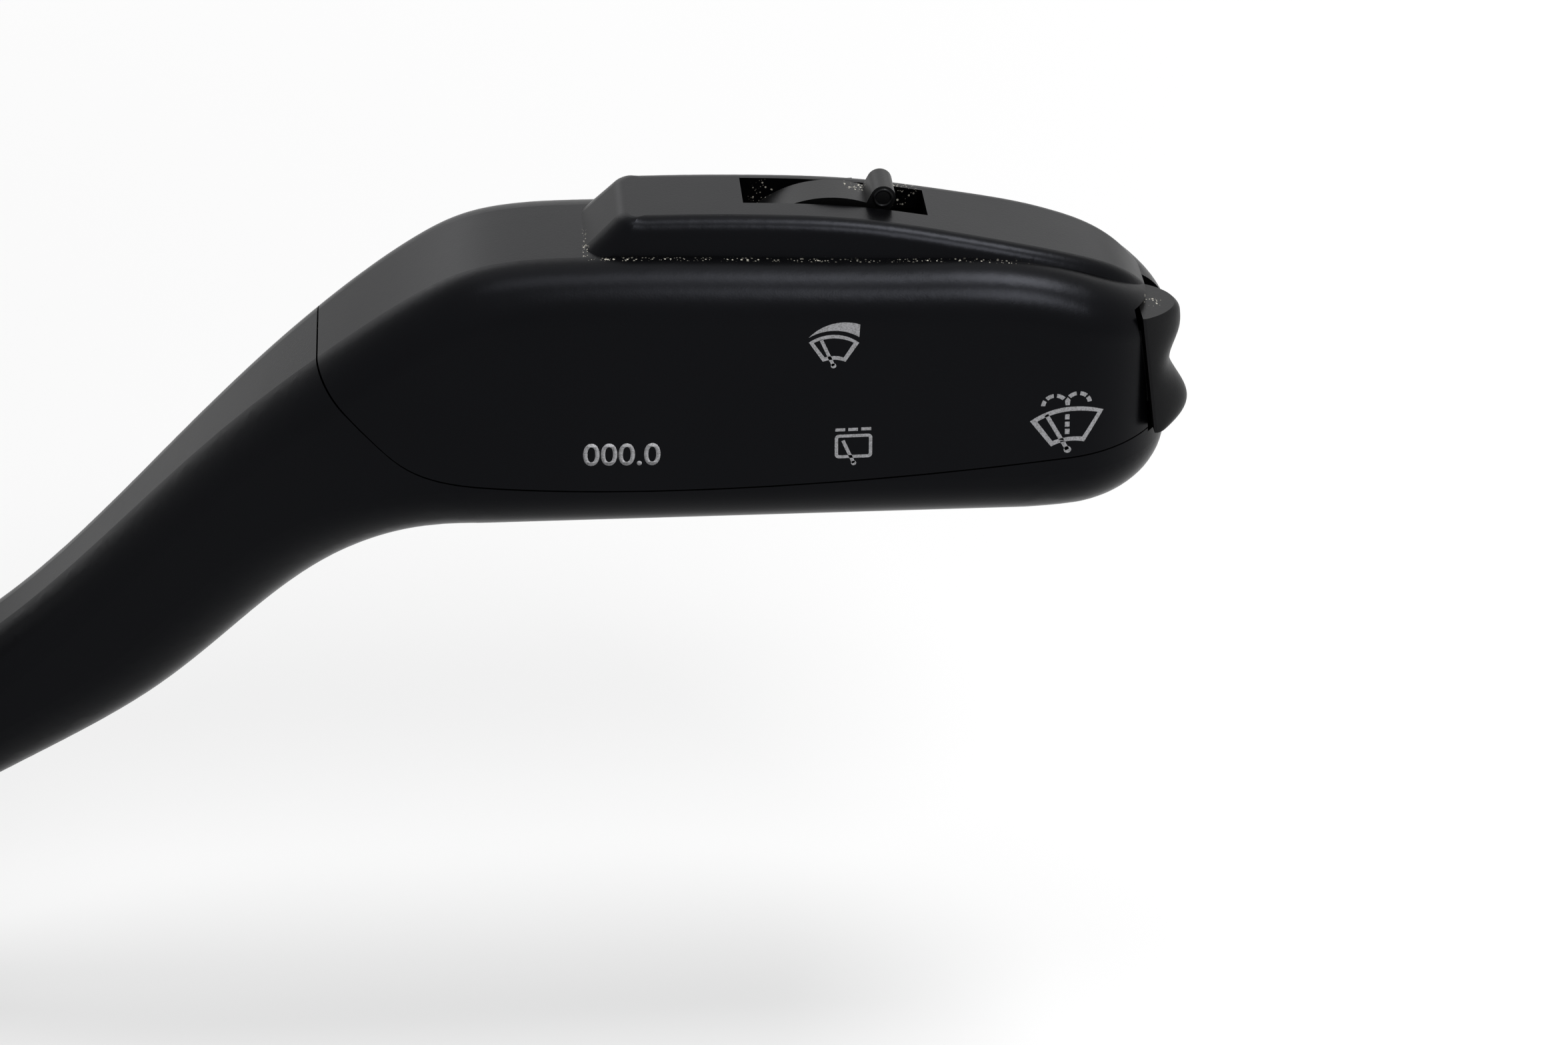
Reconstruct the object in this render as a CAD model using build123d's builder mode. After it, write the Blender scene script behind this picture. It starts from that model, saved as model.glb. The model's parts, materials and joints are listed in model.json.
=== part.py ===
from build123d import *
import math
import os

os.makedirs("parts", exist_ok=True)

# Wiper stalk of a steering column: a base with a two-axis pivot, and a lever whose grip holds controls.
# Frame: the origin is midway between the two mounting holes, on the mounting face (Y = 0).
# +X runs along the lever to its tip, +Z is up and +Y points away from the driver. Sizes are in millimetres.

# ---- fits ----
running = 0.05  # radial clearance of a pin in its bearing
slip = 0.15  # clearance of a sliding plastic piece
seam_gap = 0.16  # open joint line between two mouldings

# ---- pivot of the lever ----
pivot_y = -16.0  # both pivot axes cross at (0, pivot_y, 0)
pivot = (0.0, pivot_y, 0.0)
trunnion_r = 3.0
trunnion_reach = 13.0
pivot_pin_r = 1.5
tilt_up, tilt_down = 16.5, 5.5  # degrees
pull, push = 7.0, 8.5  # degrees

# ---- switch base ----
wall = 2.2
base_left, base_right = -30.0, 18.0
base_depth = 30.0
base_top, base_bottom = 18.0, -20.0
cover_thick = 2.4
corner_r = 2.5
ear_reach = 26.0  # mounting hole to the lever's axis
ear_thick = 4.0
ear_width = 15.0
mount_hole_r = 2.2
bush_wall = 0.9
peg_r, peg_length = 2.5, 4.0
peg_left, peg_right = -22.0, 12.0
screw_lug_r = 3.2
cover_screw_r = 1.25
board_thick = 1.6
board_rest = 1.0  # height of the pads under the base board
frame_height = 3.4
blade_width, blade_thick, blade_out = 2.8, 0.8, 7.0
blade_count = 7
blade_pitch = (base_depth - 2 * wall - blade_width - 1.2) / (blade_count - 1)

# ---- yoke ----
yoke_half_x = 5.0
yoke_wall = 2.5
root_size = 10.0
root_clear_y = 1.3
root_clear_z = 0.1
tongue_reach = 12.0  # pivot to the centre of the tongue's bead
tongue_bead_r = 1.5
tongue_width = 5.0

# ---- lever tail and detent ----
tail_r = 4.0
tail_end = -15.0
plunger_r = 2.0
nose_r = 1.2
detent_reach = 19.0  # pivot to the tip of the plunger's nose
detent_clear = 0.1
dimple_depth = 0.35
detent_step = 5.5  # degrees
plunger_back = -9.5
spring_wire = 0.45
spring_turns = 5

# ---- neck and grip ----
root_x = 22.0  # where the round-edged neck starts
neck_height, neck_depth = 13.6, 15.0
shank_size = 12.0
grip_x, grip_y, grip_z = 80.0, -37.0, 33.0  # left end, front face and underside of the grip
grip_depth = 21.8
grip_length = 87.8
grip_floor = 0.5  # underside of the grip
shell_wall = 2.3
top_edge, bottom_edge = 5.0, 6.0
wire_bore_r = 3.4
harness_r = 1.1

# ---- hump and interval wheel, in the grip's own measures ----
hump_front, hump_back = 4.9, 17.4
hump_edge, hump_corner = 1.7, 2.4
slot_left, slot_right = 44.9, 63.2
slot_front, slot_back = 9.4, 15.1
slot_wall = 1.1
wheel_x, wheel_z = 53.3, 22.1
wheel_r, wheel_width = 11.0, 4.1
wheel_y = 12.05
knob_r, knob_angle = 1.25, 27.0
wheel_pin_r = 1.25

# ---- rocker and reset button ----
rocker_front, rocker_back = 2.4, 10.4
rocker_low, rocker_high = 9.4, 22.3
rocker_gap = 0.6
rocker_pivot_x, rocker_pivot_z = grip_length - 8.8, 15.4
rocker_pin_r = 0.8
button_x, button_y = 32.0, 12.4
button_length, button_width = 9.0, 5.0
button_proud = 0.8
grip_board_y, grip_board_thick = 15.4, 1.2


def in_grip(x, y, z):
    return (grip_x + x, grip_y + y, grip_z + z)


def block(low, high, mode=Mode.ADD):
    with Locations(tuple((a + b) / 2 for a, b in zip(low, high))):
        Box(*(b - a for a, b in zip(low, high)), mode=mode)


def rod(start, direction, radius, length, mode=Mode.ADD):
    with Locations(Plane(origin=start, z_dir=direction)):
        Cylinder(radius, length, align=(Align.CENTER, Align.CENTER, Align.MIN), mode=mode)


def keep(piece, name):
    piece.part.label = name
    export_step(piece.part, f"parts/{name}.step")


# ================= lever form =================

root_u, root_h, root_d = root_x - grip_x, -grip_z, pivot_y - grip_y
tip_r = grip_depth / 2
side_view = Plane(origin=(grip_x, 0, grip_z), x_dir=(1, 0, 0), z_dir=(0, -1, 0))
above_all, below_all = 90.0, -20.0


def plan_view(height):
    return Plane(origin=(grip_x, grip_y, height), x_dir=(1, 0, 0), z_dir=(0, 0, 1))


def lever_form():
    # neck and grip as one form: its side outline crossed with its plan outline
    with BuildPart() as form:
        with BuildSketch(side_view):
            with BuildLine():
                neck_top = Spline(
                    (root_u, root_h + neck_height / 2),
                    (-32.7, -16.1), (-2.9, 14.5), (13.2, 27.0), (27.0, 30.0),
                    tangents=[(1, 0), (1, 0)],
                )
                grip_top = Spline(
                    neck_top @ 1,
                    (grip_length - 27.8, 28.7), (grip_length - 9.8, 26.4), (grip_length + 2.2, 19.0),
                    tangents=[(1, 0), (1, -1)],
                )
                beyond = Line(grip_top @ 1, (grip_length + 2.2, 3.6))
                grip_bottom = Spline(beyond @ 1, (grip_length - 15.8, 0.3), tangents=[(-1, -0.4), (-1, 0)])
                flat = Line(grip_bottom @ 1, (16.0, 0.9))
                neck_bottom = Spline(
                    flat @ 1, (5.8, -2.1), (-16.0, -22.3), (-33.6, -34.4), (root_u, root_h - neck_height / 2),
                    tangents=[(-1, 0), (-1, 0)],
                )
                Line(neck_bottom @ 1, neck_top @ 0)
            make_face()
        extrude(amount=above_all)
        with BuildSketch(plan_view(below_all)):
            with BuildLine():
                neck_front = Spline(
                    (root_u, root_d - neck_depth / 2), (-33.6, 12.0), (-4.1, 4.2), (20.0, 0.0),
                    tangents=[(1, 0), (1, 0)],
                )
                front = Line(neck_front @ 1, (grip_length - tip_r, 0))
                tip = RadiusArc(front @ 1, (grip_length - tip_r, grip_depth), -tip_r)
                back = Line(tip @ 1, (20.0, grip_depth))
                neck_back = Spline(
                    back @ 1, (-4.0, 22.0), (-33.0, 26.6), (root_u, root_d + neck_depth / 2),
                    tangents=[(-1, 0), (-1, 0)],
                )
                Line(neck_back @ 1, neck_front @ 0)
            make_face()
        extrude(amount=above_all - below_all, mode=Mode.INTERSECT)
        # the long edges are all but those of the flat root end
        long_edges = [e for e in form.edges() if e.bounding_box().max.X > root_x + 0.01]
        upper = [e for e in long_edges if is_upper(e)]
        lower_middles = [e.center() for e in long_edges if not is_upper(e)]
        fillet(upper, radius=top_edge)
        # the first fillet may have shortened the lower edges, so they are found again by their middles
        lower = [e for e in form.edges() if any((e.center() - m).length < 0.2 for m in lower_middles)]
        fillet(lower, radius=bottom_edge)
    return form


def is_upper(edge):
    # above a line that climbs with the neck and is level along the grip
    middle = edge @ 0.5
    along, height = middle.X - grip_x, middle.Z - grip_z
    if along < 10:
        return height > along * 0.93 + 2.0
    return height > 14


outer = lever_form()


# ================= lever: grip cover, body and what the grip holds =================

# top of the hump over the wheel, falling to the tip
hump_top_line = [
    (24.0, 33.4), (36.5, 33.4), (46.0, 33.1), (56.8, 32.2), (grip_length - 21.8, 30.5),
    (grip_length - 11.2, 27.9), (grip_length - 4.3, 24.5), (grip_length + 0.4, 18.5),
]


beyond_tip = grip_length + 7.2


def seam_region(shift):
    # everything on the cover's side of the joint line, in the side view
    with BuildSketch(side_view) as region:
        with BuildLine():
            shoulder = Spline(
                (1.0 + shift, 26.0), (2.2 + shift, 19.8 + shift), (7.7, 12.4 + shift), (18.0, 7.4 + shift),
                tangents=[(0, -1), (1, -0.12)],
            )
            lip = Spline(
                shoulder @ 1,
                (50.0, 6.4 + shift), (grip_length - 3.2, 9.2 + shift), (beyond_tip, 10.6 + shift),
                tangents=[(1, -0.12), (1, 0.12)],
            )
            Polyline(lip @ 1, (beyond_tip, 45.0), (1.0 + shift, 45.0), shoulder @ 0)
        make_face()
    return region


hump_slope = 1.05  # how far the left end leans in per millimetre of height


def hump_outline(height):
    # plan outline of the hump at a height above the grip's underside
    left = 29.0 + (height - 29.8) * hump_slope
    inset = (height - 29.5) * 0.12
    near, far = hump_front + inset, hump_back - inset
    middle = (near + far) / 2
    nose_x = grip_length - 11.2
    with BuildSketch(plan_view(grip_z + height)) as outline:
        with BuildLine():
            front = Line((left + hump_corner, near), (grip_length - 27.8, near))
            nose = Spline(
                front @ 1,
                (nose_x, near + 0.4), (nose_x + 6.6, near + 2.6), (grip_length - 2.3 - inset, middle),
                (nose_x + 6.6, far - 2.6), (nose_x, far - 0.4), (grip_length - 27.8, far),
                tangents=[(1, 0), (-1, 0)],
            )
            back = Line(nose @ 1, (left + hump_corner, far))
            far_corner = RadiusArc(back @ 1, (left, far - hump_corner), -hump_corner)
            end = Line(far_corner @ 1, (left, near + hump_corner))
            RadiusArc(end @ 1, front @ 0, -hump_corner)
        make_face()
    return outline


def hump_form():
    # raised housing over the wheel: drafted sides, sloping left end, top falling to the tip
    with BuildPart() as hump:
        add(hump_outline(20.0).sketch)
        add(hump_outline(35.0).sketch)
        loft(ruled=True)
        with BuildSketch(side_view):
            with BuildLine():
                crown = Spline(*hump_top_line, tangents=[(1, 0), (1, -1.4)])
                Polyline(crown @ 1, ((crown @ 1).X, 12.0), ((crown @ 0).X, 12.0), crown @ 0)
            make_face()
        extrude(amount=above_all, mode=Mode.INTERSECT)
        crown_face = hump.faces().sort_by(Axis.Z)[-1]
        fillet(crown_face.edges(), radius=hump_edge)
    return hump


hump_outer = hump_form()
with BuildPart() as cover_side:
    extrude(seam_region(seam_gap / 2).sketch, amount=above_all)
with BuildPart() as body_side:
    extrude(seam_region(-seam_gap / 2).sketch, amount=above_all)

cavity_left = 7.0
floor = grip_floor + shell_wall
with BuildPart() as cavity:
    with BuildSketch(side_view):
        with BuildLine():
            roof = Spline(
                (cavity_left, 22.4 - 1.35 * shell_wall), (13.2 + 0.6 * shell_wall, 27.3 - 0.9 * shell_wall),
                (27.0, 30.0 - shell_wall), (grip_length - 27.8, 28.7 - shell_wall),
                (grip_length - 9.8, 25.9 - shell_wall), (grip_length + 2.2, 17.0 - shell_wall),
                tangents=[(1, 0.8), (1, -1)],
            )
            Polyline(
                roof @ 1,
                (grip_length + 2.2, floor + 5.0), (grip_length - 11.8, floor), (cavity_left, floor),
                roof @ 0,
            )
        make_face()
    extrude(amount=above_all)
    with BuildSketch(plan_view(below_all)):
        with BuildLine():
            lead = Line((cavity_left, shell_wall + 1.4), (20.0, shell_wall))
            near = Line(lead @ 1, (grip_length - tip_r, shell_wall))
            end = RadiusArc(near @ 1, (grip_length - tip_r, grip_depth - shell_wall), shell_wall - tip_r)
            Polyline(end @ 1, (cavity_left, grip_depth - shell_wall), lead @ 0)
        make_face()
    extrude(amount=above_all - below_all, mode=Mode.INTERSECT)

rocker_edge = [
    (grip_length - 4.8, 24.0), (grip_length - 3.8, 19.0), (grip_length - 2.9, 13.0), (grip_length - 2.6, 7.5),
]
recess_back = rocker_back + rocker_gap
rocker_lug_front = 5.5
with BuildPart() as rocker_recess:
    with BuildSketch(side_view.offset(-grip_y - recess_back)):
        with BuildLine():
            left = Spline(*rocker_edge)
            Polyline(left @ 1, (beyond_tip, 7.5), (beyond_tip, 24.0), left @ 0)
        make_face()
    extrude(amount=above_all)
    with BuildSketch(plan_view(grip_z + rocker_low - rocker_gap)):
        with Locations((grip_length, 0)):
            Rectangle(30.0, 60.0)
    extrude(amount=rocker_high - rocker_low + 2 * rocker_gap, mode=Mode.INTERSECT)
    block(in_grip(rocker_pivot_x - 2.0, rocker_lug_front - 0.4, rocker_low - rocker_gap),
          in_grip(beyond_tip, recess_back, rocker_high + rocker_gap))

post_x = (22.0, grip_length - 19.3)
post_y = 7.2
post_r, post_split = 2.7, 8.0
grip_screw_r, grip_head_r, grip_head_depth = 1.0, 2.1, 3.2

with BuildPart() as grip_cover:
    add(outer.part)
    add(hump_outer.part)
    add(cover_side.part, mode=Mode.INTERSECT)
    add(cavity.part, mode=Mode.SUBTRACT)
    # well under the slot, open to the cavity
    block(in_grip(slot_left - slot_wall - 2.0, slot_front - slot_wall - 0.4, 20.0),
          in_grip(slot_right + slot_wall + 1.0, slot_back + slot_wall, 29.2), Mode.SUBTRACT)
    block(in_grip(slot_left, slot_front, 20.0), in_grip(slot_right, slot_back, 40.0), Mode.SUBTRACT)
    # cheeks that carry the wheel's pin
    for low_y, high_y in ((6.6, wheel_y - wheel_width / 2 - 1.4), (wheel_y + 5.4, grip_depth - 1.0)):
        block(in_grip(wheel_x - 3.4, low_y, wheel_z - 3.2), in_grip(wheel_x + 3.4, high_y, 30.0))
    rod(in_grip(wheel_x, 6.0, wheel_z), (0, 1, 0), wheel_pin_r, grip_depth - 8.6, Mode.SUBTRACT)
    for x in post_x:
        rod(in_grip(x, post_y, post_split), (0, 0, 1), post_r, 19.5)
        rod(in_grip(x, post_y, post_split), (0, 0, 1), grip_screw_r, 8.5, Mode.SUBTRACT)
    add(rocker_recess.part, mode=Mode.SUBTRACT)
keep(grip_cover, "grip_cover")

tail_bore_r = plunger_r + running
shank_half = shank_size / 2
bore_corner = (37.0, pivot_y, 0.0)
bore_end = in_grip(cavity_left + 1.0, 12.6, 9.0)
bore_way = tuple(b - a for a, b in zip(bore_corner, bore_end))
board_front, board_back = grip_board_y, grip_board_y + grip_board_thick
board_seat = 5.0

with BuildPart() as lever_body:
    add(outer.part)
    add(body_side.part, mode=Mode.SUBTRACT)
    add(cavity.part, mode=Mode.SUBTRACT)
    # shank, root block and round tail behind the neck
    with BuildSketch(Plane.YZ.offset(yoke_half_x + 4.0)):
        with Locations((pivot_y, 0)):
            RectangleRounded(shank_size, shank_size, 1.5)
    extrude(amount=root_x + 2.0 - yoke_half_x - 4.0)
    with BuildSketch(Plane.YZ.offset(-yoke_half_x)):
        with Locations((pivot_y, 0)):
            RectangleRounded(root_size, root_size, 1.0)
    extrude(amount=2 * yoke_half_x + 4.0)
    rod((tail_end, pivot_y, 0), (1, 0, 0), tail_r, -tail_end - yoke_half_x)
    # bores for the pivot pin, the plunger and the wires
    rod((0, pivot_y, -root_size), (0, 0, 1), pivot_pin_r, 2 * root_size, Mode.SUBTRACT)
    rod((tail_end, pivot_y, 0), (1, 0, 0), tail_bore_r, -tail_end - 3.5, Mode.SUBTRACT)
    rod((10.5, pivot_y, 0), (1, 0, 0), wire_bore_r, bore_corner[0] - 10.5, Mode.SUBTRACT)
    rod(bore_corner, bore_way, wire_bore_r, math.hypot(*bore_way), Mode.SUBTRACT)
    with Locations(bore_corner):
        Sphere(wire_bore_r, mode=Mode.SUBTRACT)
    block((10.5, pivot_y - 2.4, -shank_half - 1.0), (21.6, pivot_y + 2.4, 0), Mode.SUBTRACT)
    # screw posts, seats of the grip board, and the two walls beside the rocker
    for x in post_x:
        rod(in_grip(x, post_y, 1.2), (0, 0, 1), post_r, post_split - seam_gap - 1.2)
        rod(in_grip(x, post_y, -1.0), (0, 0, 1), grip_screw_r + 0.2, post_split + 2.0, Mode.SUBTRACT)
        rod(in_grip(x, post_y, -1.0), (0, 0, 1), grip_head_r + 0.2, grip_head_depth + 1.2, Mode.SUBTRACT)
    for x in (17.0, 57.0, grip_length - 15.8):
        block(in_grip(x, board_front - 1.6, 1.2), in_grip(x + 1.6, board_back + 1.4, board_seat + 1.5))
        block(in_grip(x - 0.5, board_front - 0.05, board_seat), in_grip(x + 2.5, board_back + 0.05, 9.0),
              Mode.SUBTRACT)
    for low_y, high_y, reach in ((4.3, 5.2, 1.8), (rocker_back + 0.2, rocker_back + 1.6, 3.6)):
        block(in_grip(rocker_pivot_x - 3.0, low_y, floor - 0.05),
              in_grip(rocker_pivot_x + reach, high_y, rocker_pivot_z + 3.4))
    rod(in_grip(rocker_pivot_x, 4.0, rocker_pivot_z), (0, 1, 0), rocker_pin_r, rocker_back - 2.0,
        Mode.SUBTRACT)
    # opening of the reset button
    with BuildSketch(plan_view(grip_z - 2.0)):
        with Locations((button_x, button_y)):
            SlotOverall(button_length + 2 * slip, button_width + 2 * slip)
    extrude(amount=8.0, mode=Mode.SUBTRACT)
    add(rocker_recess.part, mode=Mode.SUBTRACT)
keep(lever_body, "lever_body")

with BuildPart() as grip_screws:
    for x in post_x:
        rod(in_grip(x, post_y, grip_head_depth - 1.4), (0, 0, 1), grip_head_r, 1.4)
        rod(in_grip(x, post_y, grip_head_depth), (0, 0, 1), grip_screw_r, 11.5)
keep(grip_screws, "grip_screws")

board_reach = grip_length - 12.3
tip_board_x, tip_board_thick = grip_length - 15.2, 1.2
with BuildPart() as grip_board:
    with BuildSketch(side_view.offset(-grip_y - board_back)) as outline:
        with BuildLine():
            Polyline((10.5, 7.5), (15.5, board_seat), (board_reach, board_seat), (board_reach, 21.5),
                     (22.0, 24.0), (14.0, 19.5), (10.5, 14.0), close=True)
        make_face()
    extrude(amount=grip_board_thick)
    rod(in_grip(wheel_x, board_front - 1.0, wheel_z), (0, 1, 0), wheel_pin_r + 0.3, 4.0, Mode.SUBTRACT)
keep(grip_board, "grip_board")

with BuildPart() as tip_board:
    block(in_grip(tip_board_x, rocker_front + 2.2, 7.5),
          in_grip(tip_board_x + tip_board_thick, board_front, 22.0))
keep(tip_board, "tip_board")

dome_height, dome_r = 2.4, 2.0
dome_offset = 4.4
mat_x = tip_board_x + tip_board_thick
rocker_stem_x = mat_x + 0.8 + dome_height
with BuildPart() as switch_mat:
    block(in_grip(mat_x, rocker_front + 2.2, 7.8), in_grip(mat_x + 0.8, rocker_back, 22.0))
    for side in (-1, 1):
        foot = in_grip(mat_x + 0.8, 6.7, rocker_pivot_z + side * dome_offset)
        with Locations(Plane(origin=foot, z_dir=(1, 0, 0))):
            Cone(dome_r, dome_r * 0.6, dome_height, align=(Align.CENTER, Align.CENTER, Align.MIN))
keep(switch_mat, "switch_mat")

switch_low, switch_high = 6.5, 10.5
with BuildPart() as reset_switch:
    block(in_grip(button_x - 3.0, button_y - 3.0, switch_low),
          in_grip(button_x + 3.0, board_front, switch_high))
    rod(in_grip(button_x, button_y, switch_low), (0, 0, 1), 0.9 + running, 2.6, Mode.SUBTRACT)
keep(reset_switch, "reset_switch")

with BuildPart() as reset_button:
    with BuildSketch(plan_view(grip_z + 0.45 - button_proud)):
        with Locations((button_x, button_y)):
            SlotOverall(button_length, button_width)
    extrude(amount=floor + 0.1 - 0.45 + button_proud)
    fillet(reset_button.edges().group_by(Axis.Z)[0], radius=0.6)
    with BuildSketch(plan_view(grip_z + floor + 0.1)):
        with Locations((button_x, button_y)):
            SlotOverall(button_length + 1.6, button_width + 1.6)
    extrude(amount=0.8)
    rod(in_grip(button_x, button_y, floor + 0.9), (0, 0, 1), 0.9, switch_low + 1.0 - floor - 0.9)
keep(reset_button, "reset_button")

with BuildPart() as harness_plug:
    block(in_grip(14.0, board_front - 4.0, 8.0), in_grip(19.0, board_front, 13.0))
    fillet(harness_plug.edges().filter_by(Axis.X), radius=0.5)
keep(harness_plug, "harness_plug")

# the wires: from the plug, through the neck, out under the shank and down to the base board
plug_face = in_grip(14.0, board_front - 2.0, 10.5)
wire_way = [
    plug_face, (87.8, -23.6, 43.5), (77.0, -22.7, 32.6), (57.0, -19.2, 15.6), (38.5, pivot_y - 0.3, 1.0),
    (24.0, pivot_y, -0.7), (13.4, pivot_y, -6.0),
    (13.4, pivot_y, base_bottom + wall + board_rest + board_thick),
]
wire_points = [Vector(*p) for p in wire_way]
wire_radii = []
for before, here, after in zip(wire_points, wire_points[1:], wire_points[2:]):
    turn = math.radians((here - before).get_angle(after - here))
    shorter = min((here - before).length, (after - here).length)
    wire_radii.append(0.45 * shorter / math.tan(turn / 2))
loop_start_z = -9.6
with BuildPart() as harness:
    with BuildLine() as wire_line:
        FilletPolyline(*wire_points, radius=wire_radii)
    with BuildSketch(Plane(origin=wire_line.line @ 0, z_dir=wire_line.line % 0)):
        Circle(harness_r)
    sweep()
with BuildPart() as harness_loop:
    add(harness.part)
    split(bisect_by=Plane.XY.offset(loop_start_z), keep=Keep.BOTTOM)
with BuildPart() as harness_fixed:
    add(harness.part)
    split(bisect_by=Plane.XY.offset(loop_start_z), keep=Keep.TOP)
keep(harness_fixed, "harness")
keep(harness_loop, "harness_loop")


# ================= interval wheel =================

hub_front, hub_back = 8.6, board_front - 0.1
rim_left, rim_right = -50.0, 34.0


def on_wheel(angle, radius):
    # a point in the side view, angle measured from straight up towards the tip
    turn = math.radians(angle)
    return (wheel_x + radius * math.sin(turn), wheel_z + radius * math.cos(turn))


with BuildPart() as interval_wheel:
    with BuildSketch(side_view.offset(-grip_y - wheel_y - wheel_width / 2)):
        with BuildLine():
            RadiusArc(on_wheel(rim_left, wheel_r), on_wheel(rim_right, wheel_r), wheel_r)
            RadiusArc(on_wheel(rim_left, wheel_r - 1.6), on_wheel(rim_right, wheel_r - 1.6), wheel_r - 1.6)
            Line(on_wheel(rim_left, wheel_r), on_wheel(rim_left, wheel_r - 1.6))
            Line(on_wheel(rim_right, wheel_r), on_wheel(rim_right, wheel_r - 1.6))
        make_face()
    extrude(amount=wheel_width)
    with BuildSketch(side_view.offset(-grip_y - wheel_y - 1.0)):
        with BuildLine():
            RadiusArc(on_wheel(rim_left, wheel_r - 1.0), on_wheel(rim_right, wheel_r - 1.0), wheel_r - 1.0)
            Polyline(on_wheel(rim_left, wheel_r - 1.0), on_wheel(rim_left - 90, 2.5),
                     on_wheel(rim_right + 90, 2.5), on_wheel(rim_right, wheel_r - 1.0))
        make_face()
    extrude(amount=2.0)
    rod(in_grip(wheel_x, hub_front, wheel_z), (0, 1, 0), 3.0, hub_back - hub_front)
    with BuildSketch(side_view.offset(-grip_y - wheel_y - wheel_width / 2)):
        with Locations(on_wheel(knob_angle, wheel_r + 1.1)):
            Circle(knob_r)
        with Locations(Location((*on_wheel(knob_angle, wheel_r), 0), -knob_angle)):
            Rectangle(2 * knob_r, 2.2)
    extrude(amount=wheel_width)
    rod(in_grip(wheel_x, hub_front - 1, wheel_z), (0, 1, 0), wheel_pin_r + running, 12.0, Mode.SUBTRACT)
    # notches of the hub that give the wheel its steps
    for angle in (150, 180, 210, 128):
        notch_x, notch_z = on_wheel(angle, 3.35)
        rod(in_grip(notch_x, hub_front - 0.5, notch_z), (0, 1, 0), 0.6, 2.2, Mode.SUBTRACT)
keep(interval_wheel, "interval_wheel")

with BuildPart() as wheel_pin:
    rod(in_grip(wheel_x, 7.0, wheel_z), (0, 1, 0), wheel_pin_r, grip_depth - 10.0)
keep(wheel_pin, "wheel_pin")

with BuildPart() as wheel_brush:
    block(in_grip(wheel_x - 7.4, wheel_y + 1.0, wheel_z + 2.6),
          in_grip(wheel_x - 4.4, wheel_y + 1.3, wheel_z + 5.0))
    block(in_grip(wheel_x - 7.4, wheel_y + 1.0, wheel_z + 4.4),
          in_grip(wheel_x - 6.6, board_front - 0.02, wheel_z + 5.0))
keep(wheel_brush, "wheel_brush")


# ================= rocker =================

# outline of the rocker by height: how far past the grip's end its nose reaches, and how full its corners are
bulges = [
    (9.4, -0.1, 0.8), (9.8, 0.7, 1.0), (10.8, 1.5, 1.1), (12.6, 1.4, 1.1), (14.4, 0.4, 1.0),
    (16.2, -0.4, 1.0), (18.0, 0.0, 1.0), (19.6, 0.5, 1.1), (21.2, 0.5, 1.1), (22.3, -0.1, 1.1),
]
rocker_mid = (rocker_front + rocker_back) / 2
with BuildPart() as menu_rocker:
    for height, reach, fullness in bulges:
        left = grip_length - 2.15 - (height - rocker_low) * 0.13
        with BuildSketch(plan_view(grip_z + height)):
            with BuildLine():
                near = Line((left, rocker_front), (left + 0.3, rocker_front))
                face = Spline(near @ 1, (grip_length + reach, rocker_mid), (left + 0.3, rocker_back),
                              tangents=[(1, 0.35), (-1, 0.35)], tangent_scalars=[fullness, fullness])
                far = Line(face @ 1, (left, rocker_back))
                Line(far @ 1, near @ 0)
            make_face()
    loft()
    block(in_grip(rocker_pivot_x - 1.5, rocker_lug_front, rocker_pivot_z - 4.0),
          in_grip(grip_length - 1.8, rocker_back, rocker_pivot_z + 4.0))
    rod(in_grip(rocker_pivot_x, rocker_lug_front, rocker_pivot_z), (0, 1, 0), 2.2,
        rocker_back - rocker_lug_front)
    for side in (-1, 1):
        block(in_grip(rocker_stem_x, 5.7, rocker_pivot_z + side * dome_offset - 1.0),
              in_grip(rocker_pivot_x + 2.0, 7.8, rocker_pivot_z + side * dome_offset + 1.0))
    block(in_grip(rocker_pivot_x, 5.7, rocker_pivot_z - dome_offset),
          in_grip(rocker_pivot_x + 2.0, 7.8, rocker_pivot_z + dome_offset))
    rod(in_grip(rocker_pivot_x, 4.0, rocker_pivot_z), (0, 1, 0), rocker_pin_r + running, 8.0, Mode.SUBTRACT)
keep(menu_rocker, "menu_rocker")

with BuildPart() as rocker_pin:
    rod(in_grip(rocker_pivot_x, 4.3, rocker_pivot_z), (0, 1, 0), rocker_pin_r, rocker_back + 1.6 - 4.3)
keep(rocker_pin, "rocker_pin")


# ================= pivot, detent =================

yoke_in_y = root_size / 2 + root_clear_y
yoke_in_z = root_size / 2 + root_clear_z
yoke_out_y, yoke_out_z = yoke_in_y + yoke_wall, yoke_in_z + yoke_wall
with BuildPart() as yoke:
    with BuildSketch(Plane.YZ.offset(-yoke_half_x)):
        with Locations((pivot_y, 0)):
            RectangleRounded(2 * yoke_out_y, 2 * yoke_out_z, 1.5)
            Rectangle(2 * yoke_in_y, 2 * yoke_in_z, mode=Mode.SUBTRACT)
    extrude(amount=2 * yoke_half_x)
    for side in (-1, 1):
        rod((0, pivot_y + side * (yoke_out_y - 0.5), 0), (0, side, 0), trunnion_r,
            trunnion_reach - yoke_out_y + 0.5)
    block((-0.9, pivot_y - tongue_width / 2, -tongue_reach),
          (0.9, pivot_y + tongue_width / 2, -yoke_out_z + 0.5))
    rod((0, pivot_y - tongue_width / 2, -tongue_reach), (0, 1, 0), tongue_bead_r, tongue_width)
    rod((0, pivot_y, -yoke_in_z - 1.5), (0, 0, 1), pivot_pin_r + running, 2 * yoke_out_z, Mode.SUBTRACT)
keep(yoke, "yoke")

with BuildPart() as pivot_pin:
    rod((0, pivot_y, -yoke_in_z - 1.5), (0, 0, 1), pivot_pin_r, yoke_in_z + 1.5 + yoke_out_z)
keep(pivot_pin, "pivot_pin")

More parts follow.
